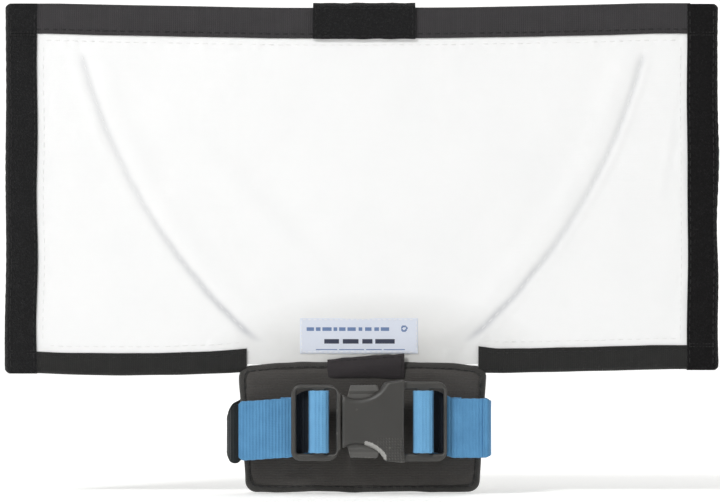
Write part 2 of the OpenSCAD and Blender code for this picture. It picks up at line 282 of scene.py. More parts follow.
# painted highlight: a pale copy of the buckle plastic for a crescent on the lower bite's edge
PAINTED_HIGHLIGHT = plastic("buckle_painted_highlight", srgb(150, 149, 146), srgb(190, 188, 184), rough=0.3)
GRIP = woven("grip_fabric", srgb(72, 70, 68), srgb(52, 49, 47), 0.9, rough=0.8, height=0.07,
             mottle=0.5, fuzz=0.1)
FLAP = woven("flap_fabric", srgb(56, 52, 54), srgb(38, 35, 37), 0.5, rough=0.75, height=0.05,
             mottle=0.5)
LABEL = woven("label_satin", srgb(218, 223, 234), srgb(202, 208, 222), 0.28, rough=0.4,
              height=0.02, mottle=0.4)
INK_BLUE = woven("label_blue", srgb(112, 134, 172), srgb(90, 112, 156), 0.28, height=0.02)
INK_DARK = woven("label_dark", srgb(64, 68, 86), srgb(44, 48, 64), 0.28, height=0.02)
THREAD = ribbed("black_thread", srgb(44, 43, 44), srgb(26, 26, 26), 0.3, height=0.03)
THREAD_W = ribbed("white_thread", srgb(240, 240, 240), srgb(214, 214, 214), 0.3, height=0.03)
k = Nodes("wire_steel")
WIRE = k.done(srgb(150, 150, 152), 0.35, k.bump(k.noise(k.uv()[0], 3, 2), 0.3, 0.02), Metallic=1.0)


# ---------------------------------------------------------------- mesh tools

class Build:
    """Collects grids and small solids, with UVs in mm, into one mesh."""

    def __init__(self):
        self.v, self.f, self.uv, self.mi, self.n = [], [], [], [], 0

    def add(self, verts, faces, uv, mat=0):
        verts = np.asarray(verts, float).reshape(-1, 3)
        self.v.append(verts)
        self.uv.append(np.asarray(uv, float).reshape(-1, 2))
        self.f.extend([tuple(int(i) + self.n for i in f) for f in faces])
        self.mi.extend([mat] * len(faces))
        self.n += len(verts)

    def grid(self, p, uv, mat=0, flip=False, wrap=False):
        """p is (nu, nv, 3). wrap joins the last row in v to the first."""
        nu, nv = p.shape[:2]
        idx = np.arange(nu * nv).reshape(nu, nv)
        if wrap:
            idx = np.concatenate([idx, idx[:, :1]], 1)
        a, b, c, d = idx[:-1, :-1], idx[1:, :-1], idx[1:, 1:], idx[:-1, 1:]
        q = np.stack([a, d, c, b] if flip else [a, b, c, d], -1).reshape(-1, 4)
        self.add(p, q.tolist(), uv, mat)

    def object(self, name, mats, angle=None):
        m = bpy.data.meshes.new(name)
        v = np.concatenate(self.v) * MM
        m.from_pydata(v.tolist(), [], self.f)
        uvs = np.concatenate(self.uv)
        layer = m.uv_layers.new(name="UV")
        vi = np.empty(len(m.loops), int)
        m.loops.foreach_get("vertex_index", vi)
        layer.data.foreach_set("uv", uvs[vi].astype(np.float32).ravel())
        for x in mats:
            m.materials.append(x)
        m.polygons.foreach_set("material_index", self.mi)
        m.polygons.foreach_set("use_smooth", [True] * len(m.polygons))
        bm = bmesh.new()
        bm.from_mesh(m)
        bmesh.ops.remove_doubles(bm, verts=bm.verts, dist=2e-6)
        bm.to_mesh(m)
        bm.free()
        m.validate()
        o = bpy.data.objects.new(name, m)
        bpy.context.collection.objects.link(o)
        if angle:
            m.set_sharp_from_angle(angle=math.radians(angle))
        return o


def cols(*values):
    """Points or other rows, from an array or a single number for each column."""
    return np.stack(np.broadcast_arrays(*values), -1)


def meshed(u, v):
    """A grid's two coordinates, u along its rows and v along its columns."""
    return np.meshgrid(u, v, indexing="ij")


def run_length(p):
    """How far along a path of points each one is."""
    return np.concatenate([[0], np.cumsum(np.linalg.norm(np.diff(p, axis=0), axis=1))])


def unit(t):
    """Held between 0 and 1."""
    return np.clip(t, 0, 1)


def ease(t):
    """0 below 0, 1 above 1, smooth between."""
    t = unit(t)
    return t * t * (3 - 2 * t)


SEWN = 1  # the second material of each sewn piece is its thread
FRONT = (0, -1, 0)
TAPE_HALF = 2.12  # half the thickness of a folded tape with the panel's edge in it
# a grid's four edges: low and high in its second direction, then in its first
EDGES = ((slice(None), 0), (slice(None), -1), (0, slice(None)), (-1, slice(None)))


def spline(points, step, closed=False):
    """Points along a smooth curve through points, about step apart."""
    p = np.asarray(points, float)
    n = len(p)
    out = []
    spans = n if closed else n - 1
    for i in range(spans):
        if closed:
            a, b, c, d = (p[(i + j) % n] for j in (-1, 0, 1, 2))
        else:
            b, c = p[i], p[i + 1]
            a = p[i - 1] if i else 2 * b - c
            d = p[i + 2] if i + 2 < n else 2 * c - b
        t = np.linspace(0, 1, 24, endpoint=False)[:, None]
        out.append(0.5 * (2 * b + (c - a) * t + (2 * a - 5 * b + 4 * c - d) * t**2
                          + (3 * b - a - 3 * c + d) * t**3))
    out = np.concatenate(out + ([] if closed else [p[-1:]]))
    if closed:
        out = np.concatenate([out, out[:1]])
    s = run_length(out)
    m = max(2, int(round(s[-1] / step)))
    q = np.linspace(0, s[-1], m + 1)
    if closed:
        q = q[:-1]
    return np.stack([np.interp(q, s, out[:, i]) for i in range(p.shape[1])], 1)


def lumps(x, z, seed, scale):
    """Smooth, cheap, seeded waves from -1 to 1."""
    r = np.random.default_rng(seed)
    out = 0
    for _ in range(6):
        a, ph, f = r.uniform(0, 6.28), r.uniform(0, 6.28), r.uniform(0.6, 1.7) / scale
        out = out + np.sin((np.cos(a) * x + np.sin(a) * z) * f * 6.28 + ph)
    return out / 3.2


def caps(b, p, uv, mat=0):
    """Flat ends for a form whose rows are rings."""
    ring = tuple(range(p.shape[1]))
    b.add(p[0], [ring[::-1]], uv[0], mat)
    b.add(p[-1], [ring], uv[-1], mat)


def loft(b, p, uv, mat=0):
    """A closed form whose rows are rings."""
    b.grid(p, uv, mat, wrap=True)
    caps(b, p, uv, mat)


def stitch(b, centre, along, up, length, r):
    """One sewn stitch: a small thread arch lying on the fabric. centre, along, up are rows."""
    ring = np.linspace(0, 2 * math.pi, 6, endpoint=False)
    side = np.cross(along, up)
    rows = []
    prof = ((-0.5, 0.25, -0.9), (-0.38, 0.9, 0.0), (0, 1.0, 0.35), (0.38, 0.9, 0.0), (0.5, 0.25, -0.9))
    for t, w, h in prof:
        c = centre + along * (t * length) + up * (h * r)
        rows.append(c + r * w * (np.outer(np.cos(ring), side) + np.outer(np.sin(ring), up)))
    p = np.stack(rows)
    uv = np.stack([np.repeat(np.arange(5)[:, None] * 0.5, 6, 1), np.tile(np.arange(6) * 0.2, (5, 1))], -1)
    loft(b, p, uv, SEWN)


def stitches(b, path, ups, pitch, length=2.0, r=0.17):
    """A row of stitches along a path of points, lying on a surface whose outward way is ups."""
    path = np.asarray(path, float)
    s = run_length(path)

    def at(q, rows):
        return np.array([np.interp(q, s, rows[:, i]) for i in range(3)])

    for q in np.arange(pitch * 0.5, s[-1], pitch):
        d = at(min(q + 0.4, s[-1]), path) - at(max(q - 0.4, 0), path)
        u = at(q, ups) if np.ndim(ups) == 2 else np.asarray(ups, float)
        stitch(b, at(q, path), d / np.linalg.norm(d), u, length, r)


# ---------------------------------------------------------------- the panel's shape

ZONES = {"c": (-41.0, 41.0), "ri": (41.0, 71.0), "ro": (71.0, HALF),
         "li": (-71.0, -41.0), "lo": (-HALF, -71.0)}


def attach(o, zone):
    """Bakes a panel piece's transform into its mesh, the same way for every zone."""
    if zone == "c":
        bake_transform(o)
        return
    if zone[1] == "i":
        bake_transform(o)
    else:
        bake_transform(o)


def warp(x, z):
    """How far the panel's middle plane stands off from flat, in y. The wings bow a little."""
    w = unit((np.abs(x) - 45) / 82)
    rise = unit((z - 30) / 60)
    return -1.3 * w * w + 0.5 * rise * lumps(x, z, 3, 190) + 0.25 * lumps(x, z, 5, 80) * rise


def top_out(x):
    return 149.45 + 1.55 * np.minimum(1, np.abs(x + 4) / 104) ** 1.6 + 0.1 * lumps(x, 0, 8, 60)


def top_in(x):
    return 138.4 + 1.75 * np.minimum(1, np.abs(x + 4) / 108) ** 1.7 + 0.08 * lumps(x, 0, 9, 50)


def low_out(x):
    a = np.abs(x)
    left = 18.6 + 1.5 * ((a - 82) / 45) ** 2
    right = 19.5 + 1.4 * unit((a - 50) / 60) ** 1.3
    return np.where(x < 0, left, right) + 0.08 * lumps(x, 0, 11, 30)


def low_in(x):
    a = np.abs(x)
    left = 26.6 + 2.0 * unit((78 - a) / 40) ** 2 + 0.6 * unit((a - 95) / 20) ** 2
    right = 28.3 + 0.9 * unit((48 - a) / 8) + 1.2 * unit((a - 60) / 45)
    return np.where(x < 0, left, right) + 0.08 * lumps(x, 0, 12, 26)


def side_in(z, s):
    return (115.7 if s < 0 else 115.4) + 0.22 * lumps(z, 0, 14 + s, 60)


def side_out(z, s):
    return (127.0 if s < 0 else 126.5) + 0.3 * lumps(z, 0, 17 + s, 50)


def wire_gap(x, z):
    """Signed distance from the nearest shaping wire's curve, and how far along it is, 0 to 1."""
    ax = np.abs(x)
    d = np.hypot(ax - WIRE_X, z - WIRE_Z) - WIRE_R
    t = np.clip((z - 31) / (134 - 31), -0.2, 1.2)
    return d, t


def cloth(points, faces, pinned, last, gravity=1.0, cache_end=250, **settings):
    """Runs cloth over frames 1 to last on a mesh that isn't kept; returns where its points end."""
    m = bpy.data.meshes.new("cloth")
    m.from_pydata(points.tolist(), [], faces)
    o = bpy.data.objects.new("cloth", m)
    bpy.context.collection.objects.link(o)
    o.vertex_groups.new(name="pin").add(pinned, 1.0, "REPLACE")
    c = o.modifiers.new("cloth", "CLOTH")
    c.settings.quality = 6
    c.settings.mass = 0.3
    c.settings.vertex_group_mass = "pin"
    for key, value in settings.items():
        setattr(c.settings, key, value)
    c.settings.effector_weights.gravity = gravity
    c.collision_settings.use_collision = False
    c.point_cache.frame_end = cache_end
    scene = bpy.context.scene
    for f in range(1, last + 1):
        scene.frame_set(f)
    e = o.evaluated_get(bpy.context.evaluated_depsgraph_get())
    out = np.empty(len(e.data.vertices) * 3)
    e.data.vertices.foreach_get("co", out)
    bpy.data.objects.remove(o, do_unlink=True)
    scene.frame_set(1)
    return out.reshape(-1, 3)


def quads(idx):
    """The faces of a grid of point numbers."""
    return np.stack([idx[:-1, :-1], idx[1:, :-1], idx[1:, 1:], idx[:-1, 1:]], -1).reshape(-1, 4)


def simulated_relief():
    """Cloth held along its tapes and wires, a little too large, blown gently forwards: its soft folds."""
    nx, nz, sc = 87, 43, 0.01
    xs, zs = np.linspace(-115.6, 115.6, nx), np.linspace(24, 138.6, nz)
    X, Z = meshed(xs, zs)
    r = np.random.default_rng(4)
    P = cols(X * sc, r.normal(0, 0.002, X.shape), Z * sc).reshape(-1, 3)
    idx = np.arange(nx * nz).reshape(nx, nz)
    d, t = wire_gap(X, Z)
    hold = (np.abs(d) < 2.4) & (t > -0.02)
    hold[0, :] = hold[-1, :] = hold[:, 0] = hold[:, -1] = True
    hold |= (Z < 28) & (np.abs(X) > 38)
    scene = bpy.context.scene
    keep = tuple(scene.gravity)
    scene.gravity = (0.4, -0.8, -1.6)
    out = cloth(P, quads(idx).tolist(), idx[hold].tolist(), 35, cache_end=40, tension_stiffness=15,
                compression_stiffness=15, shear_stiffness=5, bending_stiffness=1.2, shrink_min=-0.006)
    scene.gravity = keep
    return xs, zs, -out.reshape(nx, nz, 3)[:, :, 1] / sc


SIM_X, SIM_Z, SIM_Y = simulated_relief()
SIM_Y = SIM_Y / max(1e-6, np.percentile(np.abs(SIM_Y), 98))


def sim(x, z):
    """The simulated relief at any point, smoothly."""
    i = np.clip(np.interp(x, SIM_X, np.arange(len(SIM_X))), 0, len(SIM_X) - 1.001)
    j = np.clip(np.interp(z, SIM_Z, np.arange(len(SIM_Z))), 0, len(SIM_Z) - 1.001)
    a, b = i.astype(int), j.astype(int)
    u, v = i - a, j - b
    u, v = u * u * (3 - 2 * u), v * v * (3 - 2 * v)
    s = SIM_Y
    return ((1 - u) * (1 - v) * s[a, b] + u * (1 - v) * s[a + 1, b]
            + (1 - u) * v * s[a, b + 1] + u * v * s[a + 1, b + 1])


def inside(x, z, soft):
    """0 at the tapes' inner edges, 1 further in than soft."""
    d = np.minimum.reduce([side_in(z, 1) - x, x + side_in(z, -1), top_in(x) - z,
                           z - np.where(np.abs(x) > 41, low_in(x), 24)])
    return ease(d / soft)


def along_wire(t):
    """1 along the wire's channel, 0 past its ends."""
    return unit((t + 0.03) * 14) * unit((1.03 - t) * 14)


def hump(t):
    """1 at 0, falling to nothing by about 2 on either side."""
    return np.exp(-t ** 2)


def relief(x, z):
    """How far the white fabric stands forward of the panel's front plane."""
    d, t = wire_gap(x, z)
    g = lambda c, w: hump((d - c) / w)
    # the wire's channel is a sewn valley between puffed edges, not the same on both wings
    left = -0.26 * g(0, 1.25) + 0.2 * g(3.4, 2.0) + 0.5 * g(-5.4, 4.6)
    right = -0.26 * g(0, 1.25) + 0.5 * g(-5.6, 4.8) + 0.24 * g(2.2, 1.3)
    ridge = np.where(x < 0, left, right) * (1 + 0.25 * lumps(x, z, 30, 22))
    pucker = 0.06 * lumps(x, z, 31, 5) * g(0, 4)
    edge = inside(x, z, 9)
    near = hump((inside(x, z, 6) - 0.4) / 0.35)
    folds = 0.5 * sim(x, z) + 0.1 * lumps(x, z, 33, 30)
    long = 0.4 * hump(((x + 31) + (z - 72) * 0.92) / 7.5) * hump((z - 74) / 34)
    long = long - 0.3 * hump(((x + 22) + (z - 72) * 0.92) / 6.5) * hump((z - 74) / 34)
    crease = 0.24 * hump(((x - 108) - (z - 95) * 0.16) / 1.7) * hump((z - 98) / 17)
    small = 0.15 * near * (lumps(x, z, 35, 5.5) + 0.5 * lumps(x, z, 36, 2.6))
    neck = -0.7 * unit((52 - z) / 26) ** 2 * unit((46 - np.abs(x)) / 10)
    return along_wire(t) * (ridge + pucker) + edge * (folds + long + crease) + small + neck


def front_y(x, z):
    return 1.0 + warp(x, z) - relief(x, z)


def back_y(x, z):
    d, t = wire_gap(x, z)
    ridge = 0.5 * hump(d / 1.6) - 0.12 * hump((np.abs(d) - 3.1) / 0.6)
    folds = 0.28 * sim(-x, z) + 0.05 * lumps(x, z, 41, 30)
    return 4.0 + warp(x, z) + along_wire(t) * ridge + inside(x, z, 9) * folds


def normal_at(fn, x, z, sign):
    """Outward unit normals of the surface y = fn(x, z); sign -1 looks forward."""
    e = 0.3
    gx = (fn(x + e, z) - fn(x - e, z)) / (2 * e)
    gz = (fn(x, z + e) - fn(x, z - e)) / (2 * e)
    n = cols(-gx, 1.0, -gz) * sign
    return n / np.linalg.norm(n, axis=-1, keepdims=True)


def two_faced(b, f, m, uv, rim, flip=False, rim_flips=(False,) * 4, open_=(False,) * 4):
    """A thin solid between the grids f and m, closed along each of its edges that isn't open."""
    b.grid(f, uv, flip=flip)
    b.grid(m, uv, flip=not flip)
    for edge, over, skip in zip(EDGES, rim_flips, open_):
        if not skip:
            b.grid(np.stack([f[edge], m[edge]], 1), np.stack([uv[edge], uv[edge] + rim], 1), flip=over)


def outline(x0, x1, z0, z1, n):
    """The four sides of a rectangle, n points each."""
    for xa, xb, za, zb in ((x0, x1, z0, z0), (x0, x1, z1, z1), (x0, x0, z0, z1), (x1, x1, z0, z1)):
        yield np.linspace(xa, xb, n), np.linspace(za, zb, n)


def fabric_sheet(zone, front):
    """One zone of the white face or the black back: a thick cloth, closed at the middle plane."""
    x0, x1 = ZONES[zone]
    x0, x1 = max(x0, -125.0), min(x1, 125.0)
    b = Build()
    fn = front_y if front else back_y
    parts = [(x0, x1, None, None)]
    join = 28.9
    if zone == "c":
        parts = [(x0, x1, 22.6, join), (x0, x1, join, None)]
    step = 1.0 if front else 1.6
    for px0, px1, pz0, pz1 in parts:
        nx = max(2, int((px1 - px0) / step) + 1)
        xs = np.linspace(px0, px1, nx)
        lo = (low_out(xs) + 1.6) if pz0 is None else np.full(nx, pz0)
        hi = (top_out(xs) - 1.6) if pz1 is None else np.full(nx, pz1)
        nz = max(4, int((hi - lo).max() / step) + 1)
        t = np.linspace(0, 1, nz)
        X = np.repeat(xs[:, None], nz, 1)
        Z = lo[:, None] + (hi - lo)[:, None] * t
        Y = fn(X, Z)
        M = MID + warp(X, Z) + (-0.05 if front else 0.05)
        # the two parts of the centre run on into each other
        two_faced(b, cols(X, Y, Z), cols(X, M, Z), cols(X, Z), 1.5, flip=not front,
                  open_=(pz0 == join, pz1 == join, False, False))

    def seam(pts_x, pts_z, pitch=3.1):
        """Stitches along a line, as far as it lies in this zone."""
        keep = (pts_x > x0 + 0.6) & (pts_x < x1 - 0.6)
        if keep.sum() < 3:
            return
        pts_x, pts_z = pts_x[keep], pts_z[keep]
        y = fn(pts_x, pts_z)
        n = normal_at(fn, pts_x, pts_z, -1 if front else 1)
        stitches(b, cols(pts_x, y, pts_z) + n * 0.02, n, pitch, r=0.13)

    # beside the tapes, and along each wire's channel: one row in front, one on each side at the back
    gx = np.arange(-113, 113, 0.8)
    seam(gx, top_in(gx) - 2.3)
    for s in (-1, 1):
        gz = np.arange(31, 137, 0.8)
        seam(s * (side_in(gz, s) - 2.3), gz)
        gx2 = np.arange(43, 113, 0.8) * s
        seam(gx2, low_in(gx2) + 2.3)
        for off in (0.0,) if front else (-3.1, 3.1):
            a = np.radians(np.arange(-47.2, -14.2, 0.25))
            seam(s * (WIRE_X + (WIRE_R + off) * np.cos(a)), WIRE_Z + (WIRE_R + off) * np.sin(a), 3.3)
    if front:
        return b.object(f"fabric_front_{zone}", [WHITE, THREAD_W], angle=45)
    return b.object(f"fabric_back_{zone}", [BACK, THREAD], angle=45)


def end_caps(b, p, uv):
    """Closes both ends of a folded tape with a strip between its outside and its inside."""
    n = p.shape[1]
    inner = 7
    outer = n - inner
    for e, flip in ((0, False), (-1, True)):
        faces = []
        for j in range(outer - 1):
            a, c = j, j + 1
            # the inside runs the other way: its point for outside point j
            f = lambda q: (n - 1 - int(round(q * (inner - 1) / (outer - 1)))) % n
            ia, ic = f(a), f(c)
            quad = [a, c, ic, ia] if ia != ic else [a, c, ia]
            faces.append(tuple(quad if flip else quad[::-1]))
        b.add(p[e], faces, uv[e])


def tape_profile(h, n0, crown, thick, rough=12):
    """A folded tape's section: its outside from the front edge round to the back, then its inside."""
    v = np.concatenate([[0.0, 0.12, 0.5], np.linspace(1.0, h - 1.9, rough)])
    n = np.concatenate([[n0 - 0.3, n0 - 0.05, n0], n0 + crown * np.sin(np.linspace(0, math.pi, rough))])
    a = np.linspace(0, math.pi / 2, 8)[1:]
    v = np.concatenate([v, h - 1.9 + 1.9 * np.sin(a)])
    n = np.concatenate([n, n0 * np.cos(a)])
    k = n0 - thick
    iv, im = np.array([h - thick * 1.3, h - 1.1, h - 1.9, 0.1]), np.array([0.0, k * 0.75, k, k])
    return (np.concatenate([v, v[-2::-1], iv[::-1], iv[1:]]),
            np.concatenate([n, -n[-2::-1], -im[::-1], im[1:]]))


def across(inner, outer):
    """A tape's width at each place along it, and the way across it there."""
    h = np.linalg.norm(outer - inner, axis=1)
    return h, (outer - inner) / h[:, None]


def tape(b, inner, outer, mid, along, seed, n0=TAPE_HALF, fray=0.0, crown=0.12, thick=0.55):
    """A tape folded over an edge. inner and outer are rows of x, z; mid is y of the middle plane
    and along the place along the tape, one for each row; n0 is half the tape's thickness."""
    h, d = across(inner, outer)
    rows, uvs = [], []
    for i in range(len(inner)):
        v, n = tape_profile(h[i], n0, crown, thick)
        wob = 0.05 * lumps(along[i], v * 2 + 9 * seed, seed, 11) + fray * lumps(along[i], v, seed + 3, 2.2)
        nn = n + np.sign(n) * wob * (np.abs(n) > 0.6)
        vv = v + fray * 0.9 * lumps(along[i], v, seed + 5, 2.9) * (v > h[i] - 1)
        xz = inner[i] + d[i] * vv[:, None]
        rows.append(cols(xz[:, 0], mid[i] - nn, xz[:, 1]))
        uvs.append(cols(along[i], run_length(cols(v, n))))
    p, uv = np.stack(rows), np.stack(uvs)
    b.grid(p, uv, wrap=True)
    end_caps(b, p, uv)


def tuck(b, x0, x1, y, half, z):
    """The tape's end, turned in: a flat tongue that closes the fold, from x0 to x1 at height z."""
    a = np.linspace(0, 2 * math.pi, 20, endpoint=False)
    rows = []
    for t in np.linspace(0, 1, 14):
        k = min(1.0, 0.5 + 6 * min(t, 1 - t))
        cy, cz = np.cos(a), np.sin(a)
        wave = 0.08 * lumps(x0 + 12 * t, cy * 2, 17, 3)
        rows.append(cols(x0 + (x1 - x0) * t, y + half * k * np.sign(cy) * np.abs(cy) ** 0.5,
                         z + 0.5 * k * np.sign(cz) * np.abs(cz) ** 0.6 + wave))
    p = np.stack(rows)
    uv = p[..., :2]
    loft(b, p, uv)


def tape_stitches(b, inner, outer, mid, at, n0=TAPE_HALF, pitch=3.0):
    """A row of stitches along a tape, `at` mm from its inner edge, on its front and its back."""
    xz = inner + across(inner, outer)[1] * at
    for f in (-1, 1):
        y = mid + f * (n0 + 0.1)
        stitches(b, cols(xz[:, 0], y, xz[:, 1]), (0, f, 0), pitch)


NAMES = {"c": "centre", "ri": "right_inner", "ro": "right_outer", "li": "left_inner", "lo": "left_outer"}


def edge_tape(zone, edge, x0, x1, rows, mid_up, at, seed, mat):
    """The tape along the panel's top or bottom edge, in one zone, from x0 to x1. Its middle plane is
    taken mid_up mm up from its inner edge, and its stitches are at mm from there."""
    xs = np.linspace(x0, x1, int((x1 - x0) / 1.2) + 1)
    inner, outer = (cols(xs, row(xs)) for row in rows)
    mid = MID + warp(xs, inner[:, 1] + mid_up)
    b = Build()
    tape(b, inner, outer, mid, xs, seed)
    tape_stitches(b, inner, outer, mid, at)
    o = b.object(f"{edge}_tape_{zone}", [mat, THREAD], angle=50)
    attach(o, zone)
    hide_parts(f"{NAMES[zone]}_{edge}_tape")


def panel():
    """The white face, the black back, and the tapes along the top and the bottom."""
    for zone, (x0, x1) in ZONES.items():
        key = NAMES[zone]
        for front in (True, False):
            o = fabric_sheet(zone, front)
            w = (min(x1, 125) - max(x0, -125)) * MM
            attach(o, zone)
            if front:
                side = "right" if zone[0] == "r" else "left"
                more = {"c": ["neck_web"], "i": [f"{side}_fold_strip"], "o": [f"{side}_outer_fold_strip"]}
                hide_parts(f"{key}_front", f"{key}_liner", *more[zone[-1]])
            else:
                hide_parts(f"{key}_back")
        edge_tape(zone, "top", max(x0, -side_in(145, -1) - 1.2), min(x1, side_in(145, 1) + 1.2),
                  (top_in, top_out), mid_up=5, at=1.6, seed=2, mat=TAPE)
        if zone != "c":  # from the neck's corner out to the side strip
            ends = np.array([41.2, 71] if zone[-1] == "i" else [71, 116.6])
            a0, a1 = ends if x0 >= 0 else -ends[::-1]
            # the bottom tapes use the darker copy of the grosgrain, painted shade
            edge_tape(zone, "bottom", a0, a1, (low_in, low_out), mid_up=0, at=1.5, seed=6, mat=TAPE_SHADED)


def side_strip(s, side):
    """The hook-and-loop strip folded over one end of the panel."""
    zs = np.arange(float(low_out(s * 120.0)) - 0.3, float(top_out(s * 120.0)) + 0.1, 0.7)
    i = side_in(zs, s)
    o_ = side_out(zs, s)
    # the strip's free corners are a little rounded
    end = np.minimum(zs - zs[0], zs[-1] - zs)
    o_ = o_ - 1.3 * unit(1 - end / 1.6) ** 2
    inner, outer = cols(s * i, zs), cols(s * o_, zs)
    mid = MID + warp(s * i, zs) * 1.02
    b = Build()
    tape(b, inner, outer, mid, zs, 8 + s, n0=2.5, fray=0.07, crown=0.3)
    in_ = slice(3, -4)
    tape_stitches(b, inner[in_], outer[in_], mid[in_], 1.0, n0=2.42, pitch=2.8)
    tape_stitches(b, inner[in_], outer[in_], mid[in_], 9.3, n0=2.5, pitch=2.8)
    for e, z in ((0, zs[0] + 0.75), (-1, zs[-1] - 0.75)):
        tuck(b, s * (i[e] + 0.5), s * (side_out(zs, s)[e] - 1.5), mid[e], 2.1, z)
    # the corner bar-tacks
    for zz in (float(low_in(s * 112.0)), float(top_in(s * 112.0))):
        for dz in (-0.5, 0.5):
            xr = np.linspace(s * 116.2, s * 125.2, 12)
            stitches(b, cols(xr, mid.mean() - 2.78, zz + dz), FRONT, 1.1, length=0.9, r=0.14)
    # the right strip's darker hook pile carries painted shade
    o = b.object(f"side_strip_{side}", [HOOK_SHADED if s > 0 else LOOP, THREAD], angle=60)
    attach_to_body(o, f"{side}_outer")
    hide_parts(f"{side}_side_strip")


def side_wire(s, side):
    """One shaping wire, in the panel's middle, cut where the fabric is."""
    for zone, lo, hi, nodes in ((side[0] + "i", 38.4, 71.0, ("wire_root", "inner_wire")),
                                (side[0] + "o", 71.0, 100.4, ("outer_wire",))):
        xs = np.linspace(lo, hi, 60)
        zz = WIRE_Z - np.sqrt(WIRE_R**2 - (xs - WIRE_X) ** 2)
        c = cols(s * xs, MID + warp(s * xs, zz), zz)
        t = np.gradient(c, axis=0)
        t /= np.linalg.norm(t, axis=1, keepdims=True)
        n1 = np.array([0.0, 1, 0]) - t * t[:, 1:2]
        n1 /= np.linalg.norm(n1, axis=1, keepdims=True)
        n2 = np.cross(t, n1)
        ang = np.linspace(0, 2 * math.pi, 10, endpoint=False)
        round_ = np.stack([np.cos(ang), np.sin(ang)])[:, None, :, None]
        p = c[:, None] + 0.7 * (round_[0] * n1[:, None] + round_[1] * n2[:, None])
        b = Build()
        b.grid(p, cols(*meshed(xs, ang * 0.7)), wrap=True)
        for e in (0, -1):
            b.add(p[e], [tuple(range(10))], np.zeros((10, 2)))
        o = b.object(f"wire_{zone}", [WIRE], angle=50)
        attach(o, zone)
        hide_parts(*[f"{side}_{n}" for n in nodes])


def top_patch():
    """The hook-and-loop patch folded over the middle of the top tape."""
    xs = np.linspace(-17.6, 18.8, 52)
    inner = cols(xs, 138.25 + 0.12 * lumps(xs, 0, 62, 12))
    outer = cols(xs, 151.2 + 0.1 * lumps(xs, 0, 63, 8))
    mid = MID + warp(xs, 145)
    b = Build()
    tape(b, inner, outer, mid, xs, 4, n0=3.15, fray=0.06, crown=0.25, thick=0.85)
    for xx, zz in outline(-16.6, 17.8, 139.3, 149.2, 40):
        for f in (-1, 1):
            y = MID + warp(xx, 145) + f * 3.3
            stitches(b, cols(xx, y, zz), (0, f, 0), 2.6, length=1.7, r=0.14)
    o = b.object("top_patch_pile", [LOOP, THREAD], angle=60)
    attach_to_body(o, "panel")
    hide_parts("top_patch")


def label():
    """The label: woven satin with plain bars, sewn down all round."""
    x0, x1, z0, z1 = -22.2, 19.7, 26.4, 39.0
    bars, x = [], -19.8
    for w in (2.4, 1.6, 3.2, 1.4, 2.2, 3.0, 1.5, 2.6, 1.8, 2.8):
        bars.append((x, x + w, 34.5, 35.9, 2))
        x += w + 0.75
    bars += [(a, c, 30.0, 31.5, 3) for a, c in ((-13.6, -8.2), (-7.0, -1.4), (-0.2, 3.4), (4.6, 11.4))]
    bars += [(a, c, 27.55, 28.0, 2) for a, c in ((-16.5, -9.0), (-8.2, 0.4), (1.2, 6.8), (7.6, 15.0))]
    nx, nz = 128, 40
    A, C = meshed(np.linspace(0, 1, nx), np.linspace(0, 1, nz))
    X, Z = x0 + (x1 - x0) * A, z0 + (z1 - z0) * C
    edge = np.minimum(np.minimum(X - x0, x1 - X), np.minimum(Z - z0, z1 - Z))
    base = 1.0 + warp(X, Z) - 0.22 + 0.7 * unit((52 - Z) / 26) ** 2
    Y = base - 0.3 + 0.2 * unit(1 - edge / 0.4) ** 2 + 0.05 * lumps(X, Z, 51, 9)
    Y = Y + 0.07 * hump((edge - 0.55) / 0.3)
    b = Build()
    two_faced(b, cols(X, Y, Z), cols(X, base + 0.1, Z), cols(X, Z), 0.5,
              rim_flips=(True, False, False, True))
    cx, cz = (X[:-1] + X[1:])[:, :-1] / 2, (Z[:, :-1] + Z[:, 1:])[:-1] / 2
    kind = np.zeros(cx.shape, int)
    for xa, xb, za, zb, mat in bars:
        kind[(cx > xa) & (cx < xb) & (cz > za) & (cz < zb)] = mat
    r = np.hypot(cx - 14.8, cz - 35.3)
    kind[(r > 0.55) & (r < 1.15)] = 2
    b.mi[:kind.size] = kind.ravel().tolist()
    e = 0.55
    for xx, zz in outline(x0 + e, x1 - e, z0 + e, z1 - e, 60):
        i = np.clip(((xx - x0) / (x1 - x0) * (nx - 1)).round().astype(int), 0, nx - 1)
        j = np.clip(((zz - z0) / (z1 - z0) * (nz - 1)).round().astype(int), 0, nz - 1)
        stitches(b, cols(xx, Y[i, j] - 0.02, zz), FRONT, 1.9, length=1.25, r=0.11)
    o = b.object("label_woven", [LABEL, THREAD_W, INK_BLUE, INK_DARK], angle=60)
    attach(o, "c")
    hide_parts("label")


# ---------------------------------------------------------------- the cuff

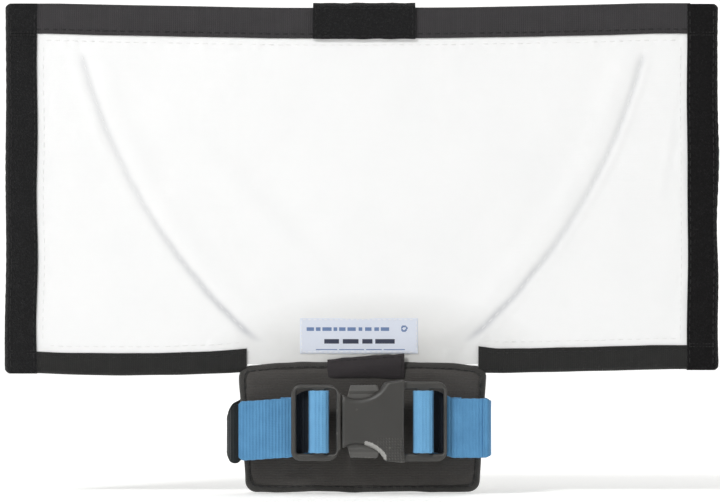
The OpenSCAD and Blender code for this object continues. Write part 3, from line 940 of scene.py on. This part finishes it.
def cuff_edge(inset, n):
    """n points round the cuff's outline, x and z, inset by that many mm, going round once."""
    top, bot, zt, zb, r = 44.0 - inset, 41.7 - inset, 23.4 - inset, -22.9 + inset, max(1.2, 4.2 - inset * 0.8)
    pts = []
    hi, lo = zt - r - 1.2, zb + r
    for cx, cz, a0 in ((top - r, hi, 0), (-top + r, hi, 90), (-bot + r, lo, 180), (bot - r, lo, 270)):
        for a in np.radians(np.linspace(a0, a0 + 90, 7)):
            pts.append((cx + r * math.cos(a), cz + r * math.sin(a)))
        if a0 == 0:
            pts += [(cx - 1.5, zt - 1.1), (30, zt - 0.2), (10, zt + 0.15), (-10, zt + 0.2), (-28, zt - 0.1),
                    (1.5 - cx, zt - 1.1)]
        if a0 == 180:
            pts += [(cx + 1.5, zb), (-28, zb - 0.15), (-14, zb + 0.25), (0, zb - 0.1), (14, zb + 0.2),
                    (28, zb - 0.05), (-1.5 - cx, zb)]
        if a0 in (90, 270):
            k = 1 if a0 == 270 else -1
            ends = (hi, lo) if k < 0 else (lo, hi)
            for f in (0.05, 0.2, 0.5, 0.8, 0.95):
                z = ends[0] + (ends[1] - ends[0]) * f
                pts.append((k * (bot + (top - bot) * (z - lo) / (hi - lo)), z))
    p = spline(pts, 1.0, closed=True)
    s = np.linspace(0, len(p), n, endpoint=False)
    return np.stack([np.interp(s, np.arange(len(p) + 1), np.append(p[:, i], p[0, i])) for i in (0, 1)], 1)


def cuff_pad():
    """The pad: two faces on a grid, joined at the rim, blown up a little as cloth."""
    n1, n2, sc = 61, 33, 0.05
    A, C = meshed(*[np.sin(np.linspace(-1, 1, n) * q) / math.sin(q) for n, q in ((n1, 1.45), (n2, 1.35))])
    cut = 1 - 0.035 * unit(np.abs(A) ** 7 + np.abs(C) ** 7 - 1)
    X = A * (40.5 + (C + 1) * 1.15) * cut
    Z = 0.25 + C * 21.8 * cut - 0.4 * C * A ** 4
    idx = np.arange(n1 * n2).reshape(n1, n2)
    ring = np.concatenate([idx[:, 0], idx[-1, 1:], idx[-2::-1, -1], idx[0, -2:0:-1]])
    tot = n1 * n2
    face = quads(idx)
    back = face[:, ::-1] + tot
    nr = np.roll(ring, -1)
    rim = cols(nr, ring, ring + tot, nr + tot)
    base = np.concatenate([cols(X, y, Z).reshape(-1, 3) for y in (0.35, 4.65)])
    pts = base.copy()
    pinned = ring.tolist() + (ring + tot).tolist()
    pts = cloth(base * sc, face.tolist() + back.tolist() + rim.tolist(), pinned, 20, gravity=0,
                use_pressure=True, uniform_pressure_force=4, tension_stiffness=20,
                compression_stiffness=20, shear_stiffness=10, bending_stiffness=2,
                shrink_min=-0.012) / sc
    move = pts - base
    size = np.linalg.norm(move, axis=1, keepdims=True)
    most = np.where(np.arange(2 * tot) < tot, 1.1, 0.55)[:, None]
    pts = base + np.where(size > most, move / np.maximum(size, 1e-9) * most, move)
    # soft waves
    pts[:, 1] += 0.09 * lumps(pts[:, 0], pts[:, 2], 71, 13) + 0.05 * lumps(pts[:, 0], pts[:, 2], 72, 5)
    uv = pts[:, [0, 2]]
    b = Build()
    b.add(pts, face.tolist(), uv)
    b.f += [tuple(map(int, q)) for q in np.concatenate([back, rim])]
    b.mi += [1] * (len(back) + len(rim))
    o = b.object("cuff_pad", [GRIP, BACK])
    sub = o.modifiers.new("sub", "SUBSURF")
    sub.levels = sub.render_levels = 1
    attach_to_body(o, "cuff")
    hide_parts("grip_pad", "cuff_foam", "cuff_back")


def cuff_binding():
    """The tape round the pad, thicker than the panel's."""
    n = 300
    inner, outer = cuff_edge(2.7, n), cuff_edge(0, n)
    b = Build()
    h, d = across(inner, outer)
    v0, n0 = tape_profile(3.0, 2.75, 0.1, 0.6, rough=4)
    rows, uvs = [], []
    s = run_length(outer)
    for i in range(n):
        v = v0 / 3.0 * h[i]
        wob = 0.07 * lumps(s[i], v * 3, 81, 9)
        xz = inner[i] + d[i] * (v + 0.12 * lumps(s[i], 0, 83, 13) * (v > h[i] * 0.7))[:, None]
        rows.append(cols(xz[:, 0], MID - n0 - np.sign(n0) * wob * (np.abs(n0) > 1), xz[:, 1]))
        uvs.append(cols(s[i], run_length(cols(v, n0))))
    p, uv = np.stack(rows), np.stack(uvs)
    p = np.concatenate([p, p[:1]])
    uv = np.concatenate([uv, uv[:1] + [[s[-1] + 1, 0]]])
    b.grid(p, uv, wrap=True)
    loop_i, loop_o = np.concatenate([inner, inner[:1]]), np.concatenate([outer, outer[:1]])
    tape_stitches(b, loop_i, loop_o, MID, 0.9, n0=2.72, pitch=2.7)
    o = b.object("cuff_binding", [CUFF_TAPE, THREAD], angle=60)
    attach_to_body(o, "cuff")
    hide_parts("cuff_tape_ring")


def cuff_flap():
    """The flap at the cuff's top edge, sewn along its top and its right side."""
    nx, nz, xa, xb = 50, 16, -12.5, 14.9
    A, C = meshed(np.linspace(0, 1, nx), np.linspace(0, 1, nz))
    X = xa + (xb - xa) * A
    top = 24.3 + 2.3 * A ** 0.8 + 0.1 * lumps(A * 30, 0, 93, 9)
    Z = 17.8 + 0.3 * lumps(A * 30, 0, 94, 16) + (top - 17.8) * C
    Y = -0.95 - 0.55 * np.sin(C * math.pi) - 0.3 * A + 0.14 * lumps(X, Z, 91, 11) + 0.45 * C * C
    edge_ = np.minimum(np.minimum(A * 27, (1 - A) * 27), np.minimum(C, 1 - C) * 7)
    Y = Y + 0.35 * unit(1 - edge_ / 0.5) ** 2 + 0.8 * unit(1 - A * 6) ** 2
    b = Build()
    f = cols(X, Y - 0.3, Z)
    two_faced(b, f, cols(X, Y + 0.4, Z), cols(X, Z), 0.7, flip=True)
    xs = np.linspace(xa + 1, xb - 1, 60)
    zt = np.interp(xs, X[:, -1], top[:, -1]) - 1.0
    y = np.interp(xs, X[:, 0], f[:, -3, 1]) - 0.02
    stitches(b, cols(xs, y, zt), FRONT, 2.6, length=1.7, r=0.14)
    zz = np.linspace(18.6, 25.2, 20)
    y = np.interp(zz, f[-3, :, 2], f[-3, :, 1]) - 0.02
    stitches(b, cols(xb - 1.1, y, zz), FRONT, 2.4, length=1.6, r=0.14)
    o = b.object("cuff_flap_fabric", [FLAP, THREAD], angle=50)
    attach(o, "c")
    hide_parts("cuff_flap")


# ---------------------------------------------------------------- webbing

def ribbon(b, path, zc, w, u0=0.0, inner=None):
    """Webbing on edge: path is x, y rows; zc and w give its middle height and its width from how far
    along it is and the point; inner gives the number of the material from the point and how far."""
    t, ribs, pitch = 1.3, 0.05, 1.15  # thickness, and its ribs' height and spacing
    p = spline(path, 0.3)
    tan = np.gradient(p, axis=0)
    tan /= np.linalg.norm(tan, axis=1, keepdims=True)
    nor = cols(-tan[:, 1], tan[:, 0])
    s = run_length(p)
    a = np.linspace(-1, 1, 15)
    q = np.array([(x, 0.5) for x in a] + [(1.012, 0.25), (1.016, 0), (1.012, -0.25)]
                 + [(x, -0.5) for x in a[::-1]] + [(-1.012, -0.25), (-1.016, 0), (-1.012, 0.25)])
    rows = []
    for i in range(len(p)):
        rib = ribs * math.sin(2 * math.pi * (s[i] + u0) / pitch)
        wid = w(s[i], p[i]) / 2
        selvedge, flat = np.abs(q[:, 0]) > 0.9, np.abs(q[:, 0]) < 1
        thick = t * q[:, 1] * (1 + 0.12 * selvedge) + rib * np.sign(q[:, 1]) * flat
        z = zc(s[i], p[i]) + q[:, 0] * wid + 0.05 * math.sin(s[i] * 2.1) * (np.abs(q[:, 0]) > 0.95)
        rows.append(cols(p[i, 0] + nor[i, 0] * thick, p[i, 1] + nor[i, 1] * thick, z))
    g = np.stack(rows)
    uv = cols(*meshed(s + u0, run_length(q * (11, t))))
    if inner is None:
        b.grid(g, uv, wrap=True, flip=True)
    else:
        kind = [inner(p[i], s[i]) for i in range(len(p) - 1)]
        i = 0
        while i < len(kind):
            j = i
            while j < len(kind) and kind[j] == kind[i]:
                j += 1
            b.grid(g[i:j + 1], uv[i:j + 1], int(kind[i]), wrap=True, flip=True)
            i = j
    caps(b, g, uv)


# the way over a ladder frame's bar and back as the tail: x from the bar, y
BAR = [(-4.6, -9.6), (-3.35, -10.3), (-2.95, -11.6), (-2.9, -13.7), (-2.2, -15.0), (-1.1, -15.45),
       (1.1, -15.45), (2.2, -15.0), (2.9, -13.7), (2.95, -10.9), (2.5, -9.2), (1.1, -8.3),
       (-3.0, -8.15), (-13.5, -8.15)]
TURN_Y, TURN_B = -1.8, 7.85  # the middle of each turn, and how far it goes back from there


def turn(a, k, sgn, front=TURN_B):
    """Points round a turn that reaches a mm out, from the front to the back."""
    out = []
    for q in np.linspace(0, 180, 15):
        r = math.radians(q)
        deep = front if math.cos(r) > 0 else TURN_B
        out.append((sgn * (43.3 + a * max(0.0, math.sin(r)) ** k), TURN_Y - deep * math.cos(r)))
    return out


def box_stitch(b, x0, x1, z0, z1, y):
    """A sewn box with a cross in it, as holds webbing down."""
    a, c, d, e = (x0, z0), (x1, z0), (x1, z1), (x0, z1)
    for (xa, za), (xb, zb) in ((a, c), (c, d), (d, e), (e, a), (a, d), (e, c)):
        line = cols(np.linspace(xa, xb, 30), y, np.linspace(za, zb, 30))
        stitches(b, line, (0, 1, 0), 2.2, length=1.6, r=0.16)


def back_run():
    """The webbing behind the cuff, sewn to it in two boxes."""
    b = Build()
    ribbon(b, [(x, 6.05) for x in (-43, -20, 0, 20, 43)], lambda s, p: 0.2, lambda s, p: 21.6)
    for x in (-35, 25):
        box_stitch(b, x, x + 10, -8, 8.4, 6.78)
    o = b.object("webbing_back", [BLACKWEB, THREAD], angle=50)
    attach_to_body(o, "cuff")
    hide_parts("web_back")


def left_turn():
    """Black, and pinched where it folds over, so its end is rounded."""
    def out(p):
        return min(1.0, max(0.0, (-p[0] - 43.3) / 4.25))

    b = Build()
    pts = [(-41.6, -8.9)] + turn(4.25, 0.7, -1, 7.1) + [(-42.8, 6.05)]
    ribbon(b, pts, lambda s, p: 0.2 - 0.9 * ease((4 - p[1]) / 10) - 2.1 * out(p) ** 0.5,
           lambda s, p: 20.6 - 8.6 * out(p) ** 4)
    o = b.object("turn_left_web", [BLACKWEB], angle=50)
    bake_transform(o)
    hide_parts("turn_left")


def front_runs():
    """Each goes level to its ladder frame, through it, over the bar and back as a tail."""
    for name, bar, sgn, body, nodes, start in (
            ("webbing_left", -15.5, 1, "loop_front", ("web_left", "loop_left"),
             [(-43.9, -9.85), (-42, -9.85), (-38, -9.8)]),
            ("webbing_right", 21.5, -1, "loop_release", ("web_right", "loop_right"),
             [(43.3, -8.9), (41.5, -9.35), (38, -9.75)])):
        far = start + [(bar - sgn * 12, -9.6), (bar - sgn * 8, -9.6)]
        b = Build()
        path = far + [(bar + sgn * x, y) for x, y in BAR]
        whole = spline(path, 0.3)
        top = int(np.argmin(whole[:, 1]))
        up = run_length(whole)[top]

        def zc(s, p):
            off = (p[0] - bar) * sgn
            if s < up:
                low = 0.9 * ease((-p[0] - 26) / 17) if sgn > 0 else 0
                return 0.15 - low + 2.35 * ease((off + 11.5) / 7.5)
            return 2.5 - 1.9 * ease((s - up - 5) / 14)

        def wide(s, p):
            corner = 2.3 * max(0.0, 1 - s / 1.6) ** 2 if name == "webbing_left" else 0
            if s < up:
                return 20.7 + 1.1 * ease(((p[0] - bar) * sgn + 11.5) / 7.5) - corner
            return 21.8 - 1.3 * ease((s - up - 5) / 14)

        # which blue each stretch takes: 2, painted light, over the bar; 1, painted shade, in the slots; 0, the
        # plain blue
        def lit_or_shaded(p, s):
            off = abs(p[0] - bar)
            return 2 if p[1] < -14.4 else int(off < 8.4 and p[1] > -13.2 and s < up + 13)

        ribbon(b, path, zc, wide, inner=lit_or_shaded)
        o = b.object(name, [BLUE, BLUE_SHADED, BLUE_LIT], angle=50)
        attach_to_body(o, body)
        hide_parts(*nodes)


def right_turn():
    """In two halves, the front one and the back one, each baked where it stands."""
    whole = [(42.6, -9.65)] + turn(1.75, 0.5, 1) + [(42.8, 6.05)]
    fine = spline(whole, 0.3)
    cut = int(np.argmin(np.abs(fine[:, 1] + 1.0)))

    def side_w(_, p):
        return 20.7 - 1.6 * ease((p[0] - 43.6) / 1.4)

    for name, seg, u0 in (("front", fine[:cut + 1], 0.0), ("back", fine[cut:], 0.3 * cut)):
        b = Build()
        ribbon(b, seg[::6].tolist() + ([seg[-1].tolist()] if (len(seg) - 1) % 6 else []),
               lambda s, p: 0.15, side_w, u0=u0)
        o = b.object(f"turn_right_{name}", [BLUE], angle=50)
        if name == "front":
            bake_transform(o)
            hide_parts("turn_right")
        else:
            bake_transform(o)


# ---------------------------------------------------------------- the buckle, as smooth solids

def nets(name, f, lo, hi, h, mat):
    """A mesh of the surface f = 0 (f negative inside), by surface nets, then drawn onto the surface."""
    ax = [np.arange(lo[i], hi[i] + h, h) for i in range(3)]
    g = np.meshgrid(*ax, indexing="ij")
    F = f(*g)
    n = [k - 1 for k in F.shape]
    acc, cnt = np.zeros(n + [3]), np.zeros(n)
    neg = F < 0
    crossing = []
    for a in range(3):
        low, high = (tuple(cut if i == a else slice(None) for i in range(3))
                     for cut in (slice(0, -1), slice(1, None)))
        f0, f1 = F[low], F[high]
        x = neg[low] != neg[high]
        t = np.where(x, f0 / np.where(x, f0 - f1, 1), 0)
        p = cols(*[c[low] for c in g])
        p[..., a] += t * h
        others = [i for i in range(3) if i != a]
        for du in (0, 1):
            for dv in (0, 1):
                sl = [slice(None)] * 3
                sl[others[0]] = slice(du, n[others[0]] + du)
                sl[others[1]] = slice(dv, n[others[1]] + dv)
                sl[a] = slice(0, n[a])
                m = x[tuple(sl)]
                acc[m] += p[tuple(sl)][m]
                cnt[m] += 1
        crossing.append((a, others, x, neg[low]))
    has = cnt > 0
    ids = np.full(n, -1)
    ids[has] = np.arange(has.sum())
    P = acc[has] / cnt[has][:, None]
    faces = []
    for a, (u, v), x, start in crossing:
        at = np.argwhere(x)
        ok = (at[:, u] > 0) & (at[:, v] > 0) & (at[:, u] < n[u]) & (at[:, v] < n[v])
        at = at[ok]
        quad = []
        for du, dv in ((1, 1), (0, 1), (0, 0), (1, 0)):
            c = at.copy()
            c[:, u] -= du
            c[:, v] -= dv
            quad.append(ids[c[:, 0], c[:, 1], c[:, 2]])
        q = np.stack(quad, 1)
        s = start[at[:, 0], at[:, 1], at[:, 2]]
        if a == 1:
            s = ~s
        q[~s] = q[~s][:, ::-1]
        faces.append(q)
    faces = np.concatenate(faces)
    e = 0.02
    for _ in range(4):
        v = f(P[:, 0], P[:, 1], P[:, 2])
        gr = np.stack([(f(*(P + d).T) - f(*(P - d).T)) / (2 * e) for d in np.eye(3) * e], 1)
        L = (gr**2).sum(1)
        P = P - np.clip(v / np.maximum(L, 0.2), -0.25, 0.25)[:, None] * gr
    b = Build()
    b.add(P, faces.tolist(), P[:, [0, 2]])
    return b.object(name, [mat])


def smax(a, b, k):
    """The larger of two distances, blended where they are within k of each other."""
    return np.maximum(a, b) + np.maximum(k - np.abs(a - b), 0) ** 2 / (4 * k)


def smin(a, b, k):
    return -smax(-a, -b, k)


def corner(a, c, r):
    """Inside both a and c, with the edge between them rounded."""
    a, c = a + r, c + r
    return np.minimum(np.maximum(a, c), 0) + np.hypot(np.maximum(a, 0), np.maximum(c, 0)) - r


def rbox(x, z, cx, cz, hx, hz, r):
    """A rectangle with rounded corners, from its centre and half its width and height."""
    return corner(np.abs(x - cx) - hx, np.abs(z - cz) - hz, r)


def slab(outline, y, half, r):
    """A plate of that outline, half thick on each side of y = 0."""
    return corner(outline, np.abs(y) - half, r)


BZ, BY = 2.6, -12.5  # the buckle's middle, in z and y


def bite(x, z):
    """How far from the round bites in the buckle's two sides; negative inside them."""
    return np.hypot(x + 1.8, np.abs(z) - 18.7) - 10.6


def slots(x, z, xa, xb, bar):
    """A ladder frame's two slots, from xa to the bar and from the bar to xb."""
    left = rbox(x, z, (xa + bar - 2.1) / 2, 0, (bar - 2.1 - xa) / 2, 11.4, 0.9)
    right = rbox(x, z, (bar + 2.1 + xb) / 2, 0, (xb - bar - 2.1) / 2, 11.4, 0.9)
    return np.minimum(left, right)


def plug_sdf(x, y, z):
    y, z = y - BY, z - BZ
    d = rbox(x, z, -17.05, -0.5, 8.25, 13.45, 3.4)
    sh = smax(rbox(x, z, -9.9, 0, 2.5, 11.6, 0.5), -bite(x, z), 0.5)
    d = smin(d, sh, 1.2)
    d = smax(d, -slots(x, z, -23.4, -9.4, -15.5), 0.3)
    body = slab(d, y, 2.0 + 0.5 * unit((x + 13) / 5) - 0.25 * (z / 14) ** 2, 0.9)
    tongue = slab(rbox(x, z, -2.0, 0, 6.0, 2.0, 0.5), y, 1.2, 0.35)
    return smin(body, tongue, 0.5)


def prong_edge(s):
    """Outer edge of a prong: a slim root, then the raised pad that a finger presses."""
    return 8.5 + 4.3 * ease((s - 1.9) / 1.6) + 0.22 * unit((s - 3.2) / 10)


def prong_sdf(sign):
    def f(x, y, z):
        y, z = y - BY, (z - BZ) * sign
        s = np.clip(x + 7.6, 0, 13.6)
        outer = prong_edge(s) - 0.9 * unit((x - 4.2) / 1.6) ** 2
        inner = 6.4 + 2.3 * (s / 13.6) ** 2
        d = smax(smax(z - outer, inner - z, 0.5) * 0.8, np.maximum(x - 5.7, -6.75 - x), 0.8)
        # shallow grip lines on the pad
        grip = (x > -3.2) * (x < 4.2) * unit((z - outer + 1.6) / 0.3)
        d = d + 0.08 * (0.5 + 0.5 * np.sin(x * 5.6)) * grip
        half = 1.4 + 0.9 * unit((z - 9.8) / 1.2) * unit((x + 6.2) / 1.2)
        return slab(d, y, half, 0.5)
    return f


def socket_sdf(x, y, z):
    y, z = y - BY, z - BZ
    half = np.interp(x, [-7.2, -2, 6.2, 14.9, 15.4], [11.6, 12.4, 13.7, 14.75, 14.6])
    d = smax((np.abs(z) - half) * 0.98, np.abs(x - 3.95) - 11.15, 1.4)
    hollow = -bite(x, z)
    d = smax(d, hollow, 0.6)
    dome = 3.5 - 0.45 * (z / 14.5) ** 2 - 0.2 * ((x - 4) / 11) ** 2
    # the bites' edges are dished, and fine crossed ribs lie on the lower ear
    dome = dome - (0.6 + 0.5 * unit((x - 1) / 5)) * unit((hollow + 1.8) / 1.8) ** 1.5
    fine = unit((5.6 - np.abs(x - 10)) / 0.8) * unit((-5.2 - z) / 0.6)
    fine = fine * unit(x - 2.5 + (z + 9.5) * 0.9)
    dome = dome + 0.17 * fine * (np.sin((x + z) * 3.1) * np.sin((x - z) * 3.1))
    body = slab(d, y, dome, 0.9)
    fr = rbox(x, z, 21.0, 0, 8.9, 14.1, 3.6)
    fr = smax(fr, -slots(x, z, 15.1, 28.6, 21.5), 0.3)
    frame_ = slab(fr, y, 2.0 - 0.2 * (z / 14) ** 2, 0.9)
    both = smin(body, np.maximum(frame_, 12.5 - x), 0.9)
    opening = np.maximum(rbox(x, z, 21.5, 0, 6.9, 11.4, 0.9), 14.6 - x)
    bar = rbox(x, z, 21.5, 0, 2.1, 14, 0.3)
    both = np.maximum(both, -np.maximum(opening, -bar))
    cav = np.maximum.reduce([np.abs(z) - 8.8, np.abs(y) - 1.7, x - 7.6, -9 - x])
    win = np.maximum.reduce([np.abs(z) - 20, np.abs(y) - 1.7, x - 6.5, -4.6 - x])
    return smax(both, -np.minimum(cav, win), 0.25)


def buckle():
    h = 0.3
    lo, hi = (BY - 4.3, BY + 4.3), (BZ - 15.4, BZ + 15.4)
    o = nets("buckle_plug_body", plug_sdf, (-26, lo[0] + 1, hi[0]), (5, lo[1] - 1, hi[1]), h, PLASTIC)
    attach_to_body(o, "loop_front")
    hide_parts("buckle_plug")
    o = nets("buckle_socket_body", socket_sdf, (-8.2, lo[0], hi[0]), (30.8, lo[1], hi[1]), h, PLASTIC)
    o.data.materials.append(PAINTED_HIGHLIGHT)
    # painted highlight on a crescent of the lower bite's right edge
    for p in o.data.polygons:
        x, y, z = (c / MM for c in p.center)
        z -= BZ
        if 0.8 < x < 8.4 and z < -6.5 and -1.7 < -bite(x, z) < -0.1 and y < -14.6:
            p.material_index = 1
    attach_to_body(o, "loop_release")
    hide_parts("buckle_socket")
    for sign, name, body in ((1, "prong_top", "prong_upper"), (-1, "prong_bottom", "prong_lower")):
        z = sorted((BZ + sign * 4.5, BZ + sign * 14.2))
        o = nets(f"{name}_body", prong_sdf(sign), (-8, BY - 3.2, z[0]), (7, BY + 3.2, z[1]), 0.25, PAD_LIT)
        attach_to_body(o, body)
        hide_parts(name)


panel()
for sign, side in ((-1, "left"), (1, "right")):
    side_strip(sign, side)
    side_wire(sign, side)
top_patch()
label()
cuff_pad()
cuff_binding()
cuff_flap()
back_run()
left_turn()
front_runs()
right_turn()
buckle()


# ---------------------------------------------------------------- floor, light, camera

def backdrop(name):
    """Plain white paper that glows by its own emission, painted light: brighter towards its far side, dimmer on
    the near side.
    """
    k = Nodes(name)
    c = k.new("TexCoord")
    n = k.noise(c.outputs["Object"], 3, 2)
    split = k.new("SeparateXYZ")
    k.link(c.outputs["Object"], split.inputs[0])
    # painted light: the paper's own glow, from 0.12 in front to 0.66 behind
    glow = k.add(0.12, k.mul(k.ramp(split.outputs[1], -0.5, 1.0), 0.54))
    k.bsdf.inputs["Emission Color"].default_value = (1, 1, 0.99, 1)
    k.link(glow, k.bsdf.inputs["Emission Strength"])
    return k.done(k.mix(k.mul(n, 0.02), (0.86, 0.86, 0.85, 1), (0.82, 0.82, 0.82, 1)), 0.9,
                  Specular_IOR_Level=0.1)


def bowl():
    """The floor curves up all round, so that every side of the object has paper under and behind it."""
    flat, bend, top, n = 4.5, 1.5, 3.5, 64
    rings = [(r, 0) for r in (0.02, 0.5, 1.5, 3, flat)]
    for a in np.linspace(0.15, math.pi / 2, 10):
        rings.append((flat + bend * math.sin(a), bend - bend * math.cos(a)))
    rings.append((flat + bend, top))
    turns = np.arange(n) * 2 * math.pi / n
    pts = [(r * math.cos(t), r * math.sin(t), z + FLOOR_Z) for r, z in rings for t in turns]
    faces = [(i * n + j, (i + 1) * n + j, (i + 1) * n + (j + 1) % n, i * n + (j + 1) % n)
             for i in range(len(rings) - 1) for j in range(n)]
    m = bpy.data.meshes.new("floor")
    m.from_pydata(pts, [], [tuple(range(n))] + faces)
    m.polygons.foreach_set("use_smooth", [True] * len(m.polygons))
    m.materials.append(backdrop("floor_white"))
    o = bpy.data.objects.new("floor", m)
    bpy.context.collection.objects.link(o)
    return o


floor = bowl()


for name, place, aim, size, power in (
        ("key", (-0.66, -1.15, 1.05), 0.06, 0.3, 15.0), ("side", (-1.1, -0.35, 0.12), 0.03, 0.35, 1.1),
        ("fill", (0.9, -1.3, 0.5), 0.06, 1.0, 0.6), ("top", (0.1, -0.15, 1.2), 0.06, 0.8, 1.8),
        ("behind", (0.7, 1.2, 0.9), 0.06, 0.7, 7.0)):
    light = bpy.data.lights.new(name, "AREA")
    light.energy, light.size = power, size
    o = bpy.data.objects.new(name, light)
    o.location = place
    o.rotation_euler = (Vector((0, 0, aim)) - Vector(place)).to_track_quat("-Z", "Y").to_euler()
    bpy.context.collection.objects.link(o)
world = bpy.data.worlds.new("studio")
world.use_nodes = True
sky = world.node_tree.nodes["Background"]
sky.inputs[0].default_value = (1, 1, 1, 1)
sky.inputs[1].default_value = 0.17
bpy.context.scene.world = world
bpy.context.scene.view_settings.view_transform = "Standard"

cam = bpy.data.cameras.new("camera")
cam.lens, cam.sensor_width, cam.clip_end = 351.6, 36, 20
camera = bpy.data.objects.new("camera", cam)
camera.location = (-0.0009, -2.5, 0.0629)
camera.rotation_euler = (math.pi / 2, 0, 0)
bpy.context.collection.objects.link(camera)
bpy.context.scene.camera = camera

bpy.context.view_layer.update()
